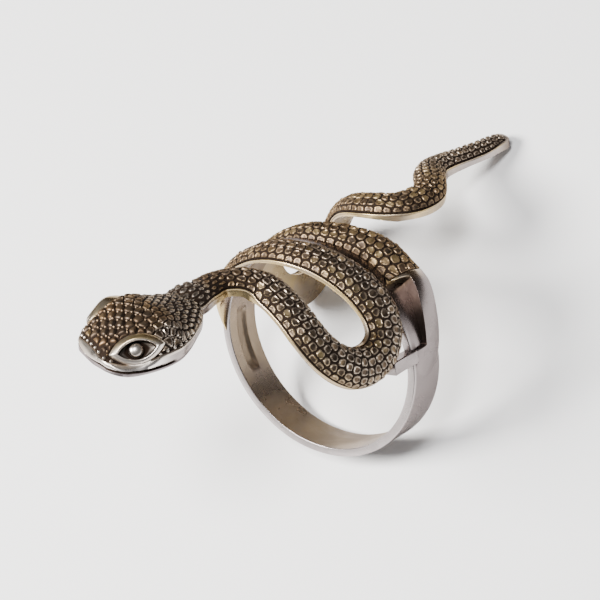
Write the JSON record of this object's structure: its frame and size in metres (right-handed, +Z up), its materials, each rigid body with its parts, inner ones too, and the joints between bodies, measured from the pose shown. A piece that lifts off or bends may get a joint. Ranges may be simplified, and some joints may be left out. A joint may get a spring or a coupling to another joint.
{
  "type": "snake ring",
  "caption": "Silver finger ring shaped as a scaled snake that arches over the finger, with its head lying forward, its tail lying back and a plain band closing the hoop.",
  "frame": {"origin": "centre of the bounding box's underside, on the surface that the ring rests on", "axes": "+Z up from that surface; +Y from the snake's head towards its tail, level; +X to the wearer's right, so the finger's axis lies in the plane of Y and Z apart from a small turn, rising from the tail's end to the head's end"},
  "size_m": [0.0202, 0.0424, 0.0327],
  "materials": {
    "silver": "cast sterling silver, polished on the raised faces and darkened in the grooves"
  },
  "bodies": {
    "root": {"snake_ring": "silver"}
  },
  "joints": []
}
